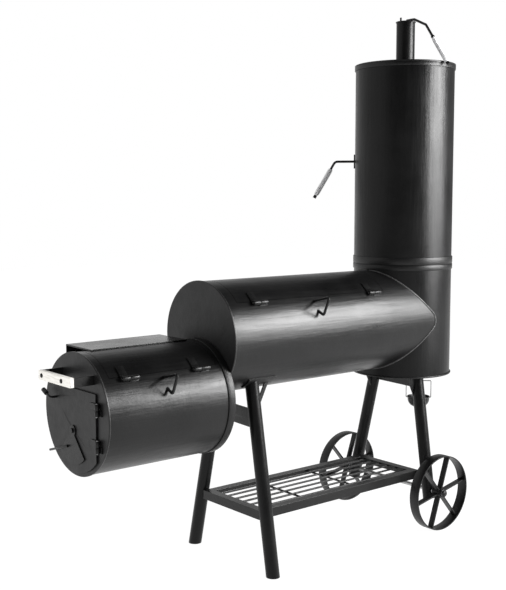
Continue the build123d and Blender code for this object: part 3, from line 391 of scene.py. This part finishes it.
def coil_grip(node, body, swell=0.0):
    """A close-wound steel coil that narrows at both ends onto its handle rod."""
    start, end, radius = axis_of(node)
    radius += swell
    wire = COIL_WIRE
    length = (end - start).length
    direction = (end - start).normalized()
    side = direction.orthogonal().normalized()
    up = direction.cross(side)
    turns = int((length - 2 * wire) / (wire * COIL_PITCH))
    steps = turns * COIL_STEPS
    points = []
    for i in range(steps + 1):
        t = i / steps
        taper = min(1.0, min(t, 1 - t) / COIL_TAPER)
        r = (radius - wire) * (COIL_END + 0.26 * math.sin(taper * math.pi / 2))
        angle = 2 * math.pi * turns * t
        centre = start + direction * (wire + (length - 2 * wire) * t)
        points.append(centre + side * (r * math.cos(angle)) + up * (r * math.sin(angle)))
    bm = bmesh.new()
    tube(bm, points, wire, 6)
    piece = add_mesh(node + "_coil", bm, WIRE, body)
    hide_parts(node)


coil_grip("chamber_lid_grip", "chamber_lid_body")
coil_grip("firebox_lid_grip", "firebox_lid_body")
coil_grip("tower_latch_grip", "tower_latch_body", 0.0015)
coil_grip("chimney_flap_grip", "flap_body")


# ------------------------------------------------------------------ weld beads
RIPPLE_LENGTH = 0.0024


def bead(name, points, radius):
    """A rippled weld bead along a path."""
    fine = []
    for a, b in zip(points, points[1:]):
        count = max(1, int((b - a).length / RIPPLE_LENGTH))
        fine += [a.lerp(b, k / count) for k in range(count)]
    fine.append(points[-1])
    bm = bmesh.new()
    wobble = [random.uniform(0.93, 1.07) for _ in fine]
    tube(bm, fine, lambda i: radius * wobble[i] * (0.9 + 0.16 * abs(math.sin(i * 0.9))))
    add_mesh(name, bm, WELD, "cooker")


def ring(centre, axis, radius, steps):
    """Points on a closed circle about an axis, X or Z."""
    out = []
    for k in range(steps + 1):
        a = math.radians(360.0 * k / steps)
        across, along = radius * math.cos(a), radius * math.sin(a)
        out.append(Vector(centre) + Vector((0, across, along) if axis == "X" else (across, along, 0)))
    return out


shell_low, shell_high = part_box("chamber_shell")
base_low, base_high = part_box("tower_base_shell")
fire_low, fire_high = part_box("firebox_shell")
PIPE_R = (shell_high.z - shell_low.z) / 2
CHAMBER_Z = (shell_low.z + shell_high.z) / 2
FIREBOX_Z = (fire_low.z + fire_high.z) / 2
TOWER_X = (base_low.x + base_high.x) / 2
END_X = shell_low.x
NOSE_R = (TOWER_X - shell_high.x) / (math.sqrt(2) - 1)


def saddle_back(z):
    """How far behind the tower's axis the chamber pipe ends at a height: a mitre with a rounded nose."""
    if abs(z) > NOSE_R / math.sqrt(2):
        return abs(z)
    return NOSE_R * math.sqrt(2) - math.sqrt(NOSE_R**2 - z * z)


SADDLE_WELD_R, CHIMNEY_WELD_R, END_WELD_R = 0.0034, 0.0024, 0.0018
saddle = []
for k in range(-100, 101):
    z = PIPE_R * 0.9995 * math.sin(math.radians(90 * k / 100))
    y = -math.sqrt(max(PIPE_R**2 - z * z, 0.0))
    saddle.append(Vector((TOWER_X - saddle_back(z), y, CHAMBER_Z + z)))
bead("saddle_weld_rear", saddle, SADDLE_WELD_R)
bead("saddle_weld_front", [Vector((p.x, -p.y, p.z)) for p in saddle], SADDLE_WELD_R)
chimney_low, chimney_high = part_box("chimney_pipe")
CHIMNEY_R = (chimney_high.x - chimney_low.x) / 2
cap_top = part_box("tower_cap")[1].z
bead("chimney_foot_weld", ring((TOWER_X, 0, cap_top), "Z", CHIMNEY_R + 0.0006, 96), CHIMNEY_WELD_R)
bead("chamber_end_weld", ring((END_X, 0, CHAMBER_Z), "X", PIPE_R + 0.0004, 140), END_WELD_R)
bead("firebox_end_weld", ring((fire_low.x, 0, FIREBOX_Z), "X", PIPE_R + 0.0004, 140), END_WELD_R)

# ------------------------------------------------------------------ handle bolts
bolts_low, bolts_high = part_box("transport_handle_bolts")
bar_low, bar_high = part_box("transport_handle_bar")
bolt_z = (bolts_low.z + bolts_high.z) / 2
bolt_r = (bolts_high.z - bolts_low.z) / 2
head_x, nut_x = bar_low.x, bar_high.x + 0.005
# Profiles as (radius, distance along the bolt); the shank starts under the head
DOME = ((0.0, -0.001), (bolt_r, -0.0005), (bolt_r, 0.0008))
DOME += ((bolt_r * 0.86, 0.0026), (bolt_r * 0.5, 0.0038), (0, 0.0042))
SHANK = ((0.0039, 0), (0.0039, 0.0285), (0.003, 0.0298), (0, 0.0298))
NUT = ((0.004, 0.0), (0.0066, 0.0), (0.0075, 0.0008), (0.0075, 0.0044), (0.0066, 0.0052), (0.004, 0.0052))
bm = bmesh.new()
for y in (bolts_low.y + bolt_r, bolts_high.y - bolt_r):
    lathe(bm, (head_x, y, bolt_z), (-1, 0, 0), DOME)
    lathe(bm, (head_x, y, bolt_z), (1, 0, 0), SHANK, 20)
    lathe(bm, (nut_x, y, bolt_z), (1, 0, 0), NUT, 6)
bolts = add_mesh("handle_bolt_set", bm, PAINT_SMALL, "cooker", smooth=False)
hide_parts("transport_handle_bolts")

# ------------------------------------------------------------------ grease bucket
pail_low, pail_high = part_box("grease_bucket")
pail_x, pail_y = (pail_low.x + pail_high.x) / 2, (pail_low.y + pail_high.y) / 2
pail_r = (pail_high.x - pail_low.x) / 2
height = pail_high.z - pail_low.z
# Profiles as (part of the radius, height)
outer = [(0.0, 0.0), (0.34, 0.0), (0.52, 0.0022), (0.7, 0.0075), (0.84, 0.0155)]
outer += [(0.925, 0.0245), (0.955, 0.034), (0.965, height - 0.0035)]
rim = [(0.99, height - 0.0028), (1.0, height - 0.0014), (0.985, height), (0.955, height - 0.0012)]
inner = [(0.935, height - 0.004), (0.925, 0.034), (0.89, 0.0255), (0.8, 0.0168)]
inner += [(0.66, 0.0092), (0.48, 0.0038), (0.3, 0.0015), (0.0, 0.0015)]
bm = bmesh.new()
lathe(bm, (pail_x, pail_y, pail_low.z), (0, 0, 1), [(pail_r * part, z) for part, z in outer + rim + inner], 64)
enamel = black_paint("pail_enamel", (8, 8, 8), 1.3, (0.24, 0.34))
pail = add_mesh("grease_pail", bm, enamel, "bucket_body")
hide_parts("grease_bucket")

# ------------------------------------------------------------------ axle ends
CAP_DEPTH = 0.0055              # how far a cap's foot lies inboard of the axle's end
axle_low, axle_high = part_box("axle")
axle_x, axle_z = (axle_low.x + axle_high.x) / 2, (axle_low.z + axle_high.z) / 2
axle_r = (axle_high.x - axle_low.x) / 2
cap = [(1.0, 0), (1.75, 0.0), (1.8, 0.0012), (1.7, 0.0034), (1.3, 0.0066), (0.7, 0.0086), (0, 0.0092)]
for name, side, y in (("front", 1, axle_high.y), ("rear", -1, axle_low.y)):
    bm = bmesh.new()
    foot = (axle_x, y - side * CAP_DEPTH, axle_z)
    lathe(bm, foot, (0, side, 0), [(axle_r * part, along) for part, along in cap], 40)
    add_mesh(f"axle_cap_{name}", bm, PAINT_SMALL, "cooker")

# ------------------------------------------------------------------ smooth shading on the frame
for name, obj in NODES.items():
    if name in SOFT_EDGES:
        bpy.ops.object.select_all(action="DESELECT")
        obj.select_set(True)
        bpy.context.view_layer.objects.active = obj
        bpy.ops.object.shade_auto_smooth(angle=SMOOTH_ANGLE)

# ------------------------------------------------------------------ stage, lights and camera
FLOOR_HALF = 14
floor_grid = bmesh.new()
bmesh.ops.create_grid(floor_grid, x_segments=8, y_segments=8, size=FLOOR_HALF)
floor_mesh = bpy.data.meshes.new("studio_floor")
floor_grid.to_mesh(floor_mesh)
floor_grid.free()
floor = bpy.data.objects.new("studio_floor", floor_mesh)
bpy.context.scene.collection.objects.link(floor)
paper = Shader("floor_paper")
paper.set(
    Base_Color=paper.ramp(paper.noise(0.6, 2), ((0.3, 0.07), (0.7, 0.09))),
    Roughness=0.9,
    Emission_Color=(1.0, 1.0, 1.0),
    Emission_Strength=0.97,
)
dress(floor, paper.material)

world = bpy.data.worlds.new("studio")
bpy.context.scene.world = world
world.use_nodes = True
tree = world.node_tree
tree.nodes.clear()


def wnode(kind, **settings):
    made = tree.nodes.new(kind)
    for key, value in settings.items():
        setattr(made, key, value)
    return made


def add(a, b):
    """The sum of a node's output and a number or another node's output."""
    made = wnode("ShaderNodeMath", operation="ADD")
    tree.links.new(a, made.inputs[0])
    if isinstance(b, float):
        made.inputs[1].default_value = b
    else:
        tree.links.new(b, made.inputs[1])
    return made.outputs[0]


direction = wnode("ShaderNodeTexCoord").outputs["Generated"]


def lobe(vector, start, end, value):
    """Light that rises smoothly as the direction nears a vector."""
    dot = wnode("ShaderNodeVectorMath", operation="DOT_PRODUCT")
    tree.links.new(direction, dot.inputs[0])
    dot.inputs[1].default_value = Vector(vector).normalized()
    ramp = wnode("ShaderNodeMapRange", interpolation_type="SMOOTHSTEP")
    tree.links.new(dot.outputs["Value"], ramp.inputs["Value"])
    for key, number in (("From Min", start), ("From Max", end), ("To Min", 0.0), ("To Max", value)):
        ramp.inputs[key].default_value = number
    return ramp.outputs["Result"]


# What the object reflects: a bright wall behind it on the left, a dim one on the right, and a dark room
AMBIENT = 0.05
total = add(lobe((-0.41, 0.91, 0.0), 0.1, 0.6, 0.95), AMBIENT)
total = add(total, lobe((1, 0.4, 0.0), 0.5, 0.95, 0.25))
studio = wnode("ShaderNodeBackground")
tree.links.new(total, studio.inputs["Strength"])
white = wnode("ShaderNodeBackground")
white.inputs["Strength"].default_value = 1.0
white.inputs["Color"].default_value = (1, 1, 1, 1)
path = wnode("ShaderNodeLightPath")
mixer = wnode("ShaderNodeMixShader")
tree.links.new(path.outputs["Is Camera Ray"], mixer.inputs[0])
tree.links.new(studio.outputs[0], mixer.inputs[1])
tree.links.new(white.outputs[0], mixer.inputs[2])
tree.links.new(mixer.outputs[0], wnode("ShaderNodeOutputWorld").inputs["Surface"])


def softbox(name, azimuth, elevation, distance, width, height, power, aim, roll=0.0, rise=0.0, glossy=True):
    """A rectangular light that faces a point.

    Azimuth is from -Y towards +X, roll lifts the side nearer +X, and rise moves the light along its own height.
    """
    a, e = math.radians(azimuth), math.radians(elevation)
    out = Vector((math.sin(a) * math.cos(e), -math.cos(a) * math.cos(e), math.sin(e)))
    data = bpy.data.lights.new(name, "AREA")
    data.shape = "RECTANGLE"
    data.size, data.size_y, data.energy = width, height, power
    light = bpy.data.objects.new(name, data)
    bpy.context.scene.collection.objects.link(light)
    turn = (-out).to_track_quat("-Z", "Y") @ Quaternion((0, 0, 1), math.radians(roll))
    light.location = Vector(aim) + out * distance + turn @ Vector((0, rise, 0))
    light.rotation_mode = "QUATERNION"
    light.rotation_quaternion = turn
    light.visible_glossy = glossy


# The key is three strips, one above the other, brighter towards the top: (name, rise, height, power)
KEY_STRIPS = (("low", -0.5, 0.7, 52), ("middle", 0.1, 0.5, 86), ("high", 0.6, 0.5, 104))
for name, rise, height, power in KEY_STRIPS:
    softbox("key_" + name, 42, 0, 3.02, 1.85, height, power, (0, 0, 1.66), 20, rise)
softbox("bar_fill", -75, 35, 1.6, 0.8, 0.8, 16, (bar_low + bar_high) / 2, glossy=False)

SENSOR_WIDTH = 36.0
FOCAL_PIXELS, FRAME_PIXELS = 1004.85, 590      # focal length and the frame's longer side, in one unit
CAMERA_YAW, CAMERA_PITCH = -39.507, 5.607
camera_data = bpy.data.cameras.new("camera")
camera = bpy.data.objects.new("camera", camera_data)
bpy.context.scene.collection.objects.link(camera)
bpy.context.scene.camera = camera
camera.location = (-2.4570, -2.8699, 1.3522)
camera.rotation_euler = (math.radians(90 - CAMERA_PITCH), 0, math.radians(CAMERA_YAW))
camera_data.sensor_width = SENSOR_WIDTH
camera_data.lens = SENSOR_WIDTH * FOCAL_PIXELS / FRAME_PIXELS
camera_data.clip_start, camera_data.clip_end = 0.1, 100
bpy.context.scene.view_settings.view_transform = "Standard"
bpy.context.scene.view_settings.look = "None"
